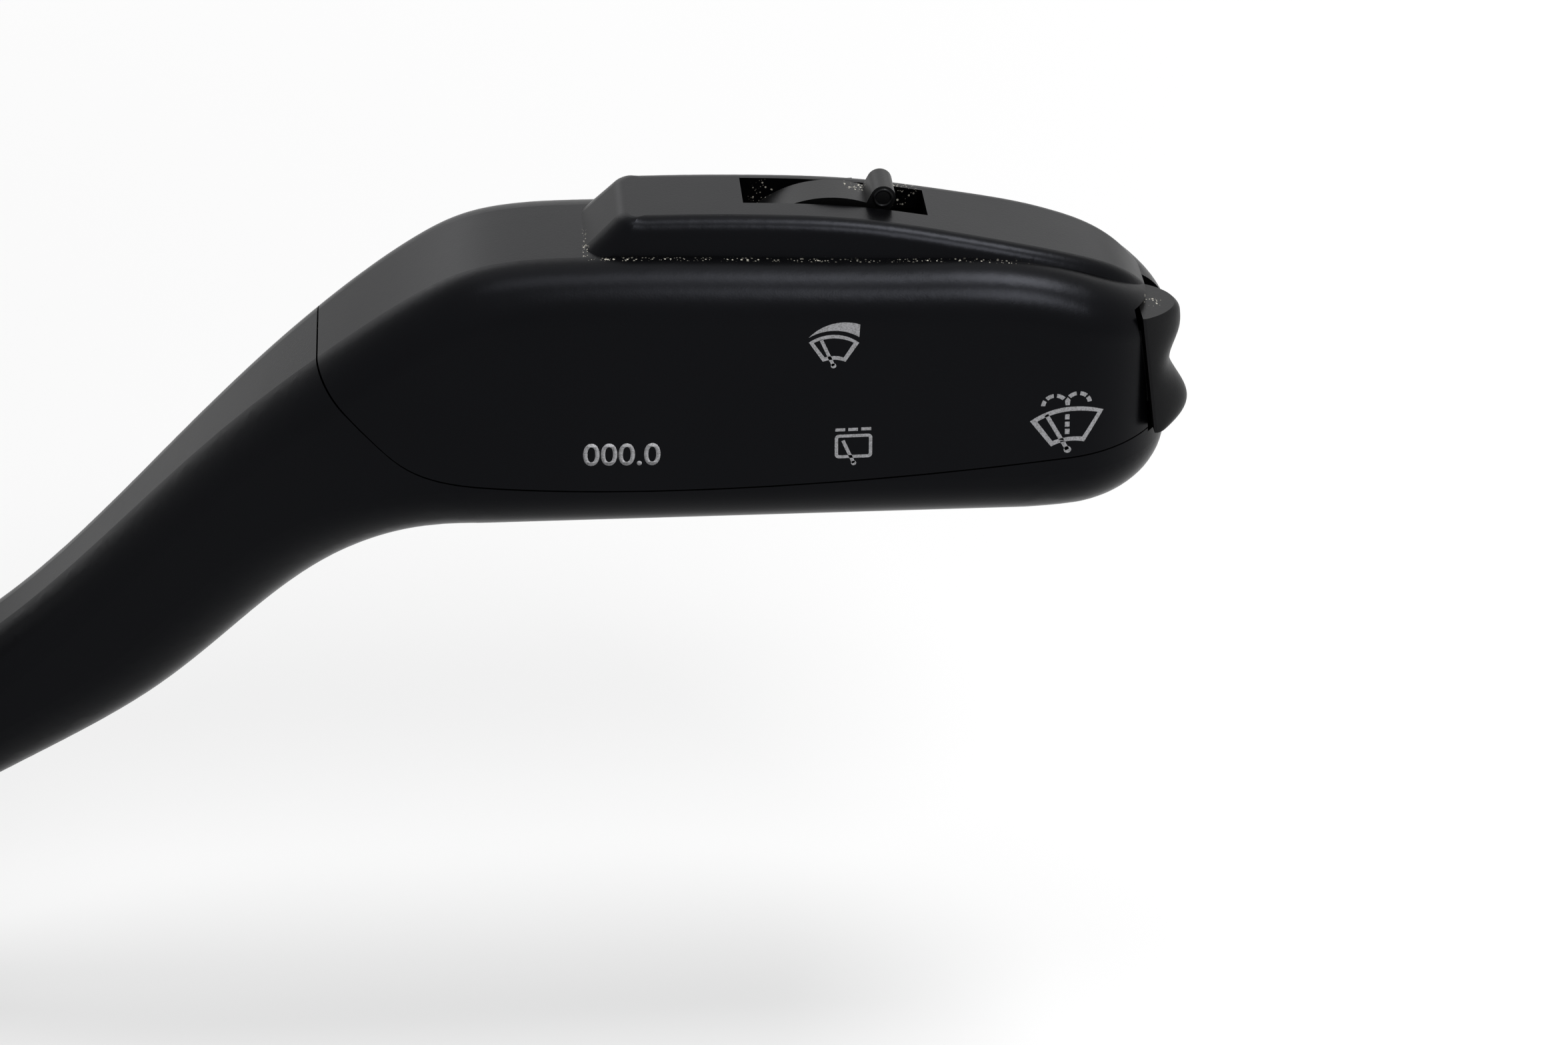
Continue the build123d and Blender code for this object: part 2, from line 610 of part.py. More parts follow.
with BuildPart() as detent_plunger:
    with BuildSketch(Plane(origin=pivot, x_dir=(1, 0, 0), z_dir=(0, -1, 0))):
        with BuildLine():
            back_end = Polyline((plunger_back, 0), (plunger_back, plunger_r), (tail_end - 1.5, plunger_r))
            nose_centre = -detent_reach + nose_r
            cone = Line(back_end @ 1, (nose_centre - nose_r * 0.5, nose_r * math.sqrt(0.75)))
            nose = RadiusArc(cone @ 1, (-detent_reach, 0), -nose_r)
            Line(nose @ 1, back_end @ 0)
        make_face()
    revolve(axis=Axis(pivot, (1, 0, 0)))
keep(detent_plunger, "detent_plunger")

spring_r = plunger_r - 0.15 - spring_wire / 2
spring_left, spring_right = plunger_back + spring_wire / 2, -3.5 - spring_wire / 2
with BuildPart() as detent_spring:
    with BuildLine() as coil:
        Helix(pitch=(spring_right - spring_left) / spring_turns, height=spring_right - spring_left,
              radius=spring_r, center=(spring_left, pivot_y, 0), direction=(1, 0, 0))
    with BuildSketch(Plane(origin=coil.line @ 0, z_dir=coil.line % 0)):
        Circle(spring_wire / 2)
    sweep()
keep(detent_spring, "detent_spring")

dish_r = detent_reach + detent_clear
plate_face, plate_back = -17.2, -23.5
with BuildPart() as detent_plate:
    block((plate_back, pivot_y - 6.0, -11.0), (plate_face, pivot_y + 6.0, 6.0))
    fillet(detent_plate.edges().filter_by(Axis.X), radius=1.0)
    with Locations(pivot):
        Sphere(dish_r, mode=Mode.SUBTRACT)
    dimple_r = nose_r + 0.05
    for tilt, swing in ((-1, 0), (0, 0), (1, 0), (2, 0), (3, 0), (0, 1)):
        up, out = math.radians(tilt * detent_step), math.radians(swing * detent_step)
        reach = dish_r + dimple_depth - dimple_r
        left, near, low = reach * math.cos(up) * math.cos(out), reach * math.sin(out), reach * math.sin(up)
        with Locations((-left, pivot_y - near, -low)):
            Sphere(dimple_r, mode=Mode.SUBTRACT)
    block((plate_back - 2.2, pivot_y - 6.0, -11.0), (plate_back, pivot_y - 3.0, 6.0))
    block((plate_back - 2.2, pivot_y + 3.0, -11.0), (plate_back, pivot_y + 6.0, 6.0))
keep(detent_plate, "detent_plate")


# ================= switch base =================

inner_left, inner_right = base_left + wall, base_right - wall
inner_top, inner_bottom = base_top - wall, base_bottom + wall
mid_x, mid_z = (base_left + base_right) / 2, (base_top + base_bottom) / 2
base_open_y = -base_depth
front_view = Plane(origin=(0, 0, 0), x_dir=(1, 0, 0), z_dir=(0, -1, 0))
lug_x = (base_left + 10.0, base_right - 8.0)
lug_z = (base_bottom - screw_lug_r + 0.6, base_top + screw_lug_r - 0.6)
window_half = 9.5
window_low, window_high = -8.8, 12.6
board_low = inner_bottom + board_rest
board_high = board_low + board_thick
frame_high = board_high + frame_height
bearing_in = yoke_out_y + 0.5
bearing_r = trunnion_r + running

with BuildPart() as base_housing:
    with BuildSketch(front_view):
        with Locations((mid_x, mid_z)):
            RectangleRounded(base_right - base_left, base_top - base_bottom, corner_r)
        for x in lug_x:
            for z in lug_z:
                with Locations((x, z)):
                    Circle(screw_lug_r)
    extrude(amount=base_depth)
    with BuildSketch(front_view.offset(wall)):
        with Locations((mid_x, mid_z)):
            RectangleRounded(inner_right - inner_left, inner_top - inner_bottom, corner_r - 1.0)
    extrude(amount=base_depth, mode=Mode.SUBTRACT)
    # mounting ears and locating pegs on the face towards the column
    with BuildSketch(front_view):
        SlotOverall(2 * ear_reach + ear_width, ear_width, rotation=90)
    extrude(amount=ear_thick)
    with BuildSketch(front_view.offset(wall)):
        with Locations((mid_x, mid_z)):
            RectangleRounded(inner_right - inner_left, inner_top - inner_bottom, corner_r - 1.0)
    extrude(amount=ear_thick, mode=Mode.SUBTRACT)
    for x in (peg_left, peg_right):
        rod((x, -0.5, 0), (0, 1, 0), peg_r, peg_length + 0.5)
    for z in (-ear_reach, ear_reach):
        rod((0, -ear_thick - 1, z), (0, 1, 0), mount_hole_r + bush_wall, ear_thick + 2, Mode.SUBTRACT)
    for x in lug_x:
        for z in lug_z:
            rod((x, base_open_y, z), (0, 1, 0), cover_screw_r, 9.0, Mode.SUBTRACT)
    # bearing of the rear trunnion
    rod((0, -wall + 0.2, 0), (0, -1, 0), trunnion_r + 2.5, -(pivot_y + bearing_in) - wall + 0.2)
    rod((0, pivot_y + trunnion_reach + 0.2, 0), (0, -1, 0), bearing_r, 8.0, Mode.SUBTRACT)
    # window for the lever, slots for the terminal blades, pads and screw posts for the base board
    block((inner_right - 1, base_open_y - 1, window_low),
          (base_right + 1, pivot_y + window_half, window_high), Mode.SUBTRACT)
    for i in range(blade_count):
        y = pivot_y + (i - (blade_count - 1) / 2) * blade_pitch
        block((base_left - 1, y - blade_width / 2 - 0.1, board_high - 0.05),
              (inner_left + 1, y + blade_width / 2 + 0.1, board_high + blade_thick + 0.1), Mode.SUBTRACT)
    for x in (-24.5, 13.0):
        block((x - 1.5, base_open_y + 0.4, inner_bottom - 0.5), (x + 1.5, -wall + 0.5, board_low))
    # rails that hold the detent plate
    for side in (-1, 1):
        near, far = sorted((pivot_y + side * 6.15, pivot_y + side * 7.75))
        block((inner_left - 0.5, near, frame_high + 0.4), (-19.5, far, 8.0))
keep(base_housing, "base_housing")

with BuildPart() as base_cover:
    with BuildSketch(front_view.offset(base_depth)):
        with Locations((mid_x, mid_z)):
            RectangleRounded(base_right - base_left, base_top - base_bottom, corner_r)
        for x in lug_x:
            for z in lug_z:
                with Locations((x, z)):
                    Circle(screw_lug_r)
    extrude(amount=cover_thick)
    fillet(base_cover.faces().sort_by(Axis.Y)[0].edges(), radius=0.8)
    # bearing of the front trunnion, and the tongue that closes the window
    rod((0, base_open_y - 0.5, 0), (0, 1, 0), trunnion_r + 2.5, pivot_y - bearing_in - base_open_y + 0.5)
    rod((0, pivot_y - trunnion_reach - 0.2, 0), (0, 1, 0), bearing_r, 8.0, Mode.SUBTRACT)
    block((inner_right, base_open_y - 0.5, window_low + slip),
          (base_right, pivot_y - window_half, window_high - slip))
    for x in lug_x:
        for z in lug_z:
            rod((x, base_open_y - cover_thick - 1, z), (0, 1, 0), cover_screw_r + 0.2, cover_thick + 2,
                Mode.SUBTRACT)
keep(base_cover, "base_cover")

with BuildPart() as cover_screws:
    for x in lug_x:
        for z in lug_z:
            rod((x, base_open_y - cover_thick - 1.6, z), (0, 1, 0), 2.5, 1.6)
            rod((x, base_open_y - cover_thick, z), (0, 1, 0), cover_screw_r, cover_thick + 7.5)
keep(cover_screws, "cover_screws")

with BuildPart() as mount_bushes:
    for z in (-ear_reach, ear_reach):
        rod((0, -ear_thick, z), (0, 1, 0), mount_hole_r + bush_wall, ear_thick)
        rod((0, -ear_thick - 1, z), (0, 1, 0), mount_hole_r, ear_thick + 2, Mode.SUBTRACT)
keep(mount_bushes, "mount_bushes")

board_left, board_right = inner_left + 0.6, inner_right - 0.4
board_near, board_far = base_open_y + 0.8, -wall - 0.4
frame_screw_places = ((-21.0, -5.2), (8.0, base_open_y + 3.2))
with BuildPart() as base_board:
    block((board_left, board_near, board_low), (board_right, board_far, board_high))
    for x, y in frame_screw_places:
        rod((x, y, board_low - 1), (0, 0, 1), 1.0, board_thick + 2, Mode.SUBTRACT)
keep(base_board, "base_board")

tongue_travel_up = tongue_reach * math.radians(tilt_up)
tongue_travel_down = tongue_reach * math.radians(tilt_down)
peg_x = -13.0
peg_travel_out = -peg_x * math.radians(push)
peg_travel_in = -peg_x * math.radians(pull)
slide_half_x, slide_half_y = 5.0, 4.2
wash_half_x, wash_half_y = 2.9, 7.0
with BuildPart() as contact_frame:
    block((-22.5, board_near + 1.2, board_high), (10.6, board_far - 1.0, frame_high))
    fillet(contact_frame.edges().filter_by(Axis.Z), radius=1.0)
    block((-slide_half_x - tongue_travel_down - 0.3, pivot_y - slide_half_y - slip, board_high - 1),
          (slide_half_x + tongue_travel_up + 0.3, pivot_y + slide_half_y + slip, frame_high + 1),
          Mode.SUBTRACT)
    block((peg_x - wash_half_x - slip, pivot_y - wash_half_y - peg_travel_out - 0.3, board_high - 1),
          (peg_x + wash_half_x + slip, pivot_y + wash_half_y + peg_travel_in + 0.3, frame_high + 1),
          Mode.SUBTRACT)
    for x, y in frame_screw_places:
        rod((x, y, board_high - 1), (0, 0, 1), 1.0, frame_height + 2, Mode.SUBTRACT)
keep(contact_frame, "contact_frame")

with BuildPart() as frame_screws:
    for x, y in frame_screw_places:
        rod((x, y, board_low), (0, 0, 1), 1.0, frame_high - board_low)
        rod((x, y, frame_high), (0, 0, 1), 1.9, 1.3)
keep(frame_screws, "frame_screws")

cheek_gap = tongue_bead_r + slip / 2
with BuildPart() as wiper_slide:
    block((-slide_half_x, pivot_y - slide_half_y, board_high + 0.3),
          (slide_half_x, pivot_y + slide_half_y, frame_high - 0.6))
    block((-cheek_gap - 1.6, pivot_y - slide_half_y, board_high + 0.3),
          (cheek_gap + 1.6, pivot_y + slide_half_y, -10.6))
    block((-cheek_gap, pivot_y - slide_half_y - 1, -tongue_reach - tongue_bead_r - 0.25),
          (cheek_gap, pivot_y + slide_half_y + 1, -10.0), Mode.SUBTRACT)
keep(wiper_slide, "wiper_slide")

with BuildPart() as wiper_bridge:
    block((-slide_half_x + 0.5, pivot_y - 3.0, board_high),
          (slide_half_x - 0.5, pivot_y + 3.0, board_high + 0.3))
keep(wiper_bridge, "wiper_bridge")

tail_gap = tail_r + 0.2
with BuildPart() as wash_slide:
    block((peg_x - wash_half_x, pivot_y - wash_half_y, board_high + 0.3),
          (peg_x + wash_half_x, pivot_y + wash_half_y, frame_high - 0.4))
    for side in (-1, 1):
        rod((peg_x, pivot_y + side * (tail_gap + 1.25), frame_high - 1.0), (0, 0, 1), 1.25, 4.0 - frame_high)
keep(wash_slide, "wash_slide")

with BuildPart() as wash_bridge:
    block((peg_x - 1.8, pivot_y - wash_half_y + 0.6, board_high),
          (peg_x + 1.8, pivot_y + wash_half_y - 0.6, board_high + 0.3))
keep(wash_bridge, "wash_bridge")

with BuildPart() as terminal_blades:
    for i in range(blade_count):
        y = pivot_y + (i - (blade_count - 1) / 2) * blade_pitch
        block((base_left - blade_out, y - blade_width / 2, board_high),
              (-24.0, y + blade_width / 2, board_high + blade_thick))
keep(terminal_blades, "terminal_blades")
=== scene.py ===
import json
import math
import random

import bpy
from mathutils import Matrix, Vector


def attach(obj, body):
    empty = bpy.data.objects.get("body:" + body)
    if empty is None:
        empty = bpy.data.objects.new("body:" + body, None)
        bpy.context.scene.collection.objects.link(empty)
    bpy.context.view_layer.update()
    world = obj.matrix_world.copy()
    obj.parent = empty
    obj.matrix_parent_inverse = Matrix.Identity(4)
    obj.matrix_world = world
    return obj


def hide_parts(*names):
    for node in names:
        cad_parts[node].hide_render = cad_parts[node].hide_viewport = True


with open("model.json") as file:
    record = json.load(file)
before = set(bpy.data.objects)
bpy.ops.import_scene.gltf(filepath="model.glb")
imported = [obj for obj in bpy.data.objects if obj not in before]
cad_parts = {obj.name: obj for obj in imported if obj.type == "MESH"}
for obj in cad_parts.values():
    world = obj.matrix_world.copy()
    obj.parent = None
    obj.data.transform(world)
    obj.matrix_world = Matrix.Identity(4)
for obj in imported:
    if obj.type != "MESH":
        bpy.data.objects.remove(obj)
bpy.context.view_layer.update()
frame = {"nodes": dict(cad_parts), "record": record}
cadNodes = frame["nodes"]
print("frame loaded:", len(cadNodes), "nodes")

mm = 0.001
gripCorner = Vector((0.080, -0.037, 0.033))  # left end, front face and underside of the grip
# where the grip's front face turns into its round end, in mm along the grip
tipRound = {"start": 76.9, "radius": 10.9, "cuts": 13, "cutPitch": 0.28}


def inGrip(along, depth, height):
    return gripCorner + Vector((along, depth, height)) * mm


def deselectAll():
    if bpy.context.object and bpy.context.object.mode != "OBJECT":
        bpy.ops.object.mode_set(mode="OBJECT")
    bpy.ops.object.select_all(action="DESELECT")


def pick(piece):
    deselectAll()
    piece.select_set(True)
    bpy.context.view_layer.objects.active = piece


def settle(piece):
    # puts a piece's place into its mesh, so that its object sits at the origin
    pick(piece)
    bpy.ops.object.transform_apply(location=True, rotation=True, scale=True)


camera = {
    "distance": 0.450, "elevation": 30.0, "azimuth": -4.5, "target": (0.1282, -0.0370, 0.0351),
    "lens": 103.3, "sensor": 36.0, "nearest": 0.01,
}
lamps = {
    "overBack": {"place": (0.12, 0.22, 0.65), "size": (0.6, 0.3), "watts": 0.3},
    "over": {"place": (0.10, -0.12, 0.62), "size": (0.30, 0.22), "watts": 0.7},
    "overRight": {"place": (0.33, -0.05, 0.57), "size": (0.20, 0.20), "watts": 2.6},
    "frontRight": {"place": (0.33, -0.42, 0.50), "size": (0.22, 0.22), "watts": 2.2},
    "backLeft": {"place": (-0.25, 0.55, 0.45), "size": (0.5, 0.4), "watts": 0.45},
    "behind": {"place": (0.12, 0.70, 0.42), "size": (1.0, 0.5), "watts": 1.2},
}
aim = Vector((0.11, -0.02, 0.03))
# the floor glows where the lamps don't reach, so that it stays as pale far off as it is near
floor = {
    "height": -0.0335, "width": 6.0, "colour": 0.40, "rough": 0.9,
    "pale": 0.955, "lit": 0.46, "lampHeight": 0.75,
}
world = {"seen": 1.0, "fill": 0.05}


def addCamera():
    azimuth, elevation = math.radians(camera["azimuth"]), math.radians(camera["elevation"])
    level = math.cos(elevation)
    back = Vector((math.sin(azimuth) * level, -math.cos(azimuth) * level, math.sin(elevation)))
    place = Vector(camera["target"]) + back * camera["distance"]
    bpy.ops.object.camera_add(location=place, rotation=(-back).to_track_quat("-Z", "Y").to_euler())
    made = bpy.context.object
    made.data.lens = camera["lens"]
    made.data.sensor_width = camera["sensor"]
    made.data.clip_start = camera["nearest"]
    bpy.context.scene.camera = made


def addLamp(name, facts):
    place = Vector(facts["place"])
    towards = (aim - place).to_track_quat("-Z", "Y").to_euler()
    bpy.ops.object.light_add(type="AREA", location=place, rotation=towards)
    made = bpy.context.object
    made.name = name
    made.data.shape = "RECTANGLE"
    made.data.size, made.data.size_y = facts["size"]
    made.data.energy = facts["watts"]
    made.visible_camera = False


class Value:
    # a shader socket that can be used in sums

    def __init__(self, nodes, socket):
        self.nodes = nodes
        self.socket = socket

    def work(self, operation, *values):
        return self.nodes.add("ShaderNodeMath", {"operation": operation}, dict(enumerate(values)))

    def __add__(self, other):
        return self.work("ADD", self, other)

    def __radd__(self, other):
        return self.work("ADD", other, self)

    def __sub__(self, other):
        return self.work("SUBTRACT", self, other)

    def __rsub__(self, other):
        return self.work("SUBTRACT", other, self)

    def __mul__(self, other):
        return self.work("MULTIPLY", self, other)

    def __rmul__(self, other):
        return self.work("MULTIPLY", other, self)

    def __pow__(self, other):
        return self.work("POWER", self, other)

    def __abs__(self):
        return self.work("ABSOLUTE", self)


class Nodes:
    # a node tree and the shader at its end

    def __init__(self, tree, shader):
        self.tree = tree
        self.shader = tree.nodes[shader]

    def add(self, kind, settings, values, out=0):
        node = self.tree.nodes.new(kind)
        for name, value in settings.items():
            setattr(node, name, value)
        for key, value in values.items():
            if isinstance(value, Value):
                self.tree.links.new(value.socket, node.inputs[key])
            else:
                node.inputs[key].default_value = value
        return Value(self, node.outputs[out])

    def feed(self, **sockets):
        for socket, value in sockets.items():
            self.tree.links.new(value.socket, self.shader.inputs[socket.replace("_", " ")])

    def step(self, value, low, high, start=0.0, end=1.0):
        values = {"Value": value, "From Min": low, "From Max": high, "To Min": start, "To Max": end}
        return self.add("ShaderNodeMapRange", {"interpolation_type": "SMOOTHSTEP"}, values)

    def mixed(self, factor, first, second):
        return self.add("ShaderNodeMix", {"data_type": "RGBA"}, {0: factor, 6: first, 7: second}, out=2)

    def backdropRays(self):
        # 1 for what the camera sees, straight or in a reflection, and 0 for what lights the object
        rays = [self.add("ShaderNodeLightPath", {}, {}, out="Is " + kind + " Ray")
                for kind in ("Camera", "Glossy", "Transmission")]
        direct = rays[0].work("MAXIMUM", rays[0], rays[1])
        return direct.work("MAXIMUM", direct, rays[2])


class Finish(Nodes):
    # one material, its patterns laid out in the object's own space

    def __init__(self, name, **sockets):
        self.material = bpy.data.materials.new(name)
        self.material.use_nodes = True
        super().__init__(self.material.node_tree, "Principled BSDF")
        for socket, value in sockets.items():
            self.shader.inputs[socket.replace("_", " ")].default_value = value
        self.place = self.add("ShaderNodeTexCoord", {}, {}, out="Object")

    def noise(self, scale, detail=2.0, roughness=0.5):
        values = {"Vector": self.place, "Scale": scale, "Detail": detail, "Roughness": roughness}
        return self.add("ShaderNodeTexNoise", {}, values, out="Fac")

    def cells(self, scale, out="Distance"):
        return self.add("ShaderNodeTexVoronoi", {}, {"Vector": self.place, "Scale": scale}, out=out)

    def axis(self, name):
        return self.add("ShaderNodeSeparateXYZ", {}, {"Vector": self.place}, out=name)

    def bump(self, height, strength, distance):
        values = {"Height": height, "Strength": strength, "Distance": distance}
        self.feed(Normal=self.add("ShaderNodeBump", {}, values, out="Normal"))


def grey(level, blue=0.0):
    return (level, level, level * (1.0 + blue), 1.0)


dust = {
    "colour": (0.46, 0.44, 0.38, 1.0),
    "loose": {"scale": 1100.0, "size": 0.085, "share": 0.022},
    "settled": {"scale": 3600.0, "size": 0.56, "share": 0.72},
    # where it settles, in metres: the foot of the raised top in front and at its left end, and the
    # corners of the slot and of the rocker's joint, each with a radius
    "frontCrease": {
        "y": (-0.0330, -0.0317), "left": 0.1092, "right": 0.1520, "fade": 0.006,
        "foot": 0.06294, "fall": 0.0434,
    },
    "leftCrease": {"x": 0.10925, "y": (-0.0323, -0.0220), "low": 0.0625},
    "corners": (
        (0.1270, -0.0219, 0.0645, 0.0017), (0.1408, -0.0219, 0.0643, 0.0023),
        (0.1362, -0.0235, 0.0655, 0.0015), (0.1655, -0.0310, 0.0556, 0.0012),
    ),
    "reach": 0.00046,
    "cover": 0.85,
}


def flecks(made, facts):
    # small specks in a share of the cells, each of its own size
    near = made.cells(facts["scale"])
    luck = made.cells(facts["scale"], out="Color")
    rare = 1.0 - facts["share"]
    size = made.step(luck, rare, 1.0, 0.4, 1.0) * facts["size"]
    return made.step(size - near, 0.0, facts["size"] * 0.3) * made.step(luck, rare, rare + 0.004)


def dustyPlaces(made):
    x, y, z = made.axis("X"), made.axis("Y"), made.axis("Z")
    front, left, reach = dust["frontCrease"], dust["leftCrease"], dust["reach"]
    foot = front["foot"] - (x - front["left"]) * front["fall"]
    inFront = made.step(abs(z - foot), reach, reach * 0.3)
    inFront = inFront * made.step(y, front["y"][0], front["y"][0] + reach) * made.step(y, *front["y"][::-1])
    inFront = inFront * made.step(x, front["left"], front["left"] + reach)
    inFront = inFront * made.step(x, front["right"] + front["fade"], front["right"])
    atLeft = made.step(abs(x - left["x"]), reach, reach * 0.3)
    atLeft = atLeft * made.step(z, left["low"], left["low"] + reach)
    atLeft = atLeft * made.step(y, left["y"][0], left["y"][0] + reach) * made.step(y, *left["y"][::-1])
    places = inFront + atLeft
    for cornerX, cornerY, cornerZ, radius in dust["corners"]:
        away = (x - cornerX) ** 2.0 + (y - cornerY) ** 2.0 + (z - cornerZ) ** 2.0
        places = places + made.step(away, radius**2, (radius * 0.5) ** 2)
    return made.step(places, 0.0, 1.0)


def plastic(name, colour, darker, rough, grain=4200.0, depth=0.000022, specular=0.12, tint=0.0, dusty=False):
    made = Finish(name, Specular_IOR_Level=specular, Specular_Tint=(1.0 - tint, 1.0 - tint * 0.8, 1.0, 1.0))
    broad = made.noise(55.0, 4.0)
    fine = made.noise(grain, 3.0, 0.6)
    shade = made.mixed(made.step(broad, 0.32, 0.68), darker, colour)
    if dusty:
        patchy = made.step(made.noise(420.0, 1.0), 0.34, 0.56, 0.55, 1.0)
        specks = flecks(made, dust["loose"]) + flecks(made, dust["settled"]) * dustyPlaces(made) * patchy
        shade = made.mixed(made.step(specks, 0.0, 1.0, 0.0, dust["cover"]), shade, dust["colour"])
    made.feed(Base_Color=shade, Roughness=rough + (broad - 0.5) * 0.10 + (fine - 0.5) * 0.08)
    made.bump(fine, 0.30, depth)
    return made.material


def metal(name, colour, darker, rough):
    made = Finish(name, Metallic=1.0)
    broad = made.noise(240.0, 4.0)
    fine = made.noise(2600.0, 2.0)
    made.feed(Base_Color=made.mixed(made.step(broad, 0.3, 0.7), darker, colour),
              Roughness=rough + (broad - 0.5) * 0.2 + (fine - 0.5) * 0.1)
    made.bump(fine, 0.2, 0.00001)
    return made.material


lacquer = {"dark": (0.010, 0.075, 0.030, 1), "light": (0.018, 0.115, 0.048, 1)}


def circuitBoard():
    made = Finish("circuitBoard", Specular_IOR_Level=0.5)
    weave = made.cells(900.0)
    broad = made.noise(120.0, 3.0)
    shade = made.mixed(made.step(broad, 0.3, 0.7), lacquer["dark"], lacquer["light"])
    made.feed(Base_Color=shade, Roughness=0.28 + weave * 0.12)
    made.bump(weave, 0.2, 0.00002)
    return made.material


def printInk():
    made = Finish("printInk", Specular_IOR_Level=0.2)
    fine = made.noise(6500.0, 2.0, 0.7)
    made.feed(Base_Color=made.mixed(made.step(fine, 0.30, 0.62), grey(0.24), grey(0.46, 0.05)),
              Roughness=0.5 + fine * 0.15)
    made.bump(fine, 0.2, 0.00001)
    return made.material


materials = {
    "grip_plastic": plastic("gripPlastic", grey(0.0010, 0.2), grey(0.0006, 0.2), 0.30,
                            specular=0.082, tint=0.16, dusty=True),
    "control_plastic": plastic("controlPlastic", grey(0.0026), grey(0.0016), 0.36, depth=0.00003,
                               specular=0.12, tint=0.08, dusty=True),
    "housing_plastic": plastic("housingPlastic", grey(0.012), grey(0.008), 0.52, grain=3000.0, depth=0.00004,
                               specular=0.3),
    "natural_plastic": plastic("naturalPlastic", (0.68, 0.66, 0.59, 1), (0.60, 0.575, 0.50, 1), 0.42,
                               specular=0.45),
    "switch_plastic": plastic("switchPlastic", grey(0.020), grey(0.014), 0.40, specular=0.4),
    "silicone": plastic("silicone", grey(0.27, 0.06), grey(0.22, 0.06), 0.62, specular=0.3),
    "wire": plastic("wireSleeve", grey(0.014), grey(0.009), 0.55, grain=2500.0, specular=0.3),
    "steel": metal("steel", grey(0.55), grey(0.42), 0.30),
    "tinned_brass": metal("tinnedBrass", (0.66, 0.62, 0.48, 1), (0.50, 0.44, 0.30, 1), 0.28),
    "circuit_board": circuitBoard(),
}
for part in frame["record"]["subparts"]:
    shown = cadNodes[part["node"]]
    shown.data.materials.clear()
    shown.data.materials.append(materials[part["material_slot"]])
ink = printInk()
print("materials made:", len(materials) + 1)


def addFloor():
    bpy.ops.mesh.primitive_plane_add(size=floor["width"], location=(0, 0, floor["height"]))
    made = bpy.context.object
    made.name = "floor"
    paint = Finish("floorPaint", Base_Color=grey(floor["colour"]), Roughness=floor["rough"],
                   Specular_IOR_Level=0.0, Emission_Strength=1.0)
    x, y = paint.axis("X") - aim.x, paint.axis("Y") - aim.y
    reached = ((x * x + y * y) * (1 / floor["lampHeight"] ** 2) + 1.0) ** -2.0
    glow = paint.backdropRays() * (floor["pale"] - reached * floor["lit"])
    paint.feed(Emission_Color=paint.mixed(glow, grey(0.0), grey(1.0)))
    made.data.materials.append(paint.material)
    settle(made)


def addWorld():
    made = bpy.data.worlds.new("studio")
    bpy.context.scene.world = made
    made.use_nodes = True
    sky = Nodes(made.node_tree, "Background")
    sky.feed(Color=sky.mixed(sky.backdropRays(), grey(world["fill"]), grey(world["seen"])))


bpy.context.scene.view_settings.view_transform = "Standard"
addCamera()
for lampName, lampFacts in lamps.items():
    addLamp(lampName, lampFacts)
addFloor()
addWorld()
print("camera, lamps and floor placed")


# the outlines of the printed marks are flat, in millimetres along the grip and up from its underside
markSkin, markLift = 0.012, 0.003  # thickness of the print, and how far it starts off the plastic
markMerge = 0.002  # points nearer than this become one


def arcThrough(first, middle, last, count=14):
    # points on the circle through three points, ends included
    ax, ay = first
    bx, by = middle
    cx, cy = last
    d = 2 * (ax * (by - cy) + bx * (cy - ay) + cx * (ay - by))
    ux = ((ax**2 + ay**2) * (by - cy) + (bx**2 + by**2) * (cy - ay) + (cx**2 + cy**2) * (ay - by)) / d
    uy = ((ax**2 + ay**2) * (cx - bx) + (bx**2 + by**2) * (ax - cx) + (cx**2 + cy**2) * (bx - ax)) / d
    radius = math.hypot(ax - ux, ay - uy)
    start, end = math.atan2(ay - uy, ax - ux), math.atan2(cy - uy, cx - ux)
    turn = (end - start + math.pi) % (2 * math.pi) - math.pi
    angles = [start + turn * i / count for i in range(count + 1)]
    return [(ux + radius * math.cos(angle), uy + radius * math.sin(angle)) for angle in angles]


def ringAt(centre, radius, count=20):
    return [(centre[0] + radius * math.cos(2 * math.pi * i / count),
             centre[1] + radius * math.sin(2 * math.pi * i / count)) for i in range(count)]


def barBetween(start, end, width):
    along = Vector((end[0] - start[0], end[1] - start[1])).normalized() * width / 2
    side = Vector((-along.y, along.x))
    return [(start[0] + side.x, start[1] + side.y), (end[0] + side.x, end[1] + side.y),
            (end[0] - side.x, end[1] - side.y), (start[0] - side.x, start[1] - side.y)]


def boxAt(low, high):
    return [low, (high[0], low[1]), high, (low[0], high[1])]


def roundedBox(low, high, radius, count=5):
    left, right, foot, top = low[0] + radius, high[0] - radius, low[1] + radius, high[1] - radius
    points = []
    for corner, (x, y) in enumerate(((right, top), (left, top), (left, foot), (right, foot))):
        for i in range(count + 1):
            angle = math.radians(90 * corner + 90 * i / count)
            points.append((x + radius * math.cos(angle), y + radius * math.sin(angle)))
    return points


def dashOn(centre, radius, first, last, width, count=6):
    turns = [math.radians(first + (last - first) * i / count) for i in range(count + 1)]
    sides = [[(centre[0] + reach * math.cos(turn), centre[1] + reach * math.sin(turn)) for turn in turns]
             for reach in (radius + width / 2, radius - width / 2)]
    return sides[0] + sides[1][::-1]


def windscreen(facts):
    outer = arcThrough(*facts["outerTop"]) + arcThrough(*facts["outerFoot"])
    inner = arcThrough(*facts["innerTop"]) + arcThrough(*facts["innerFoot"])
    return [outer, inner]


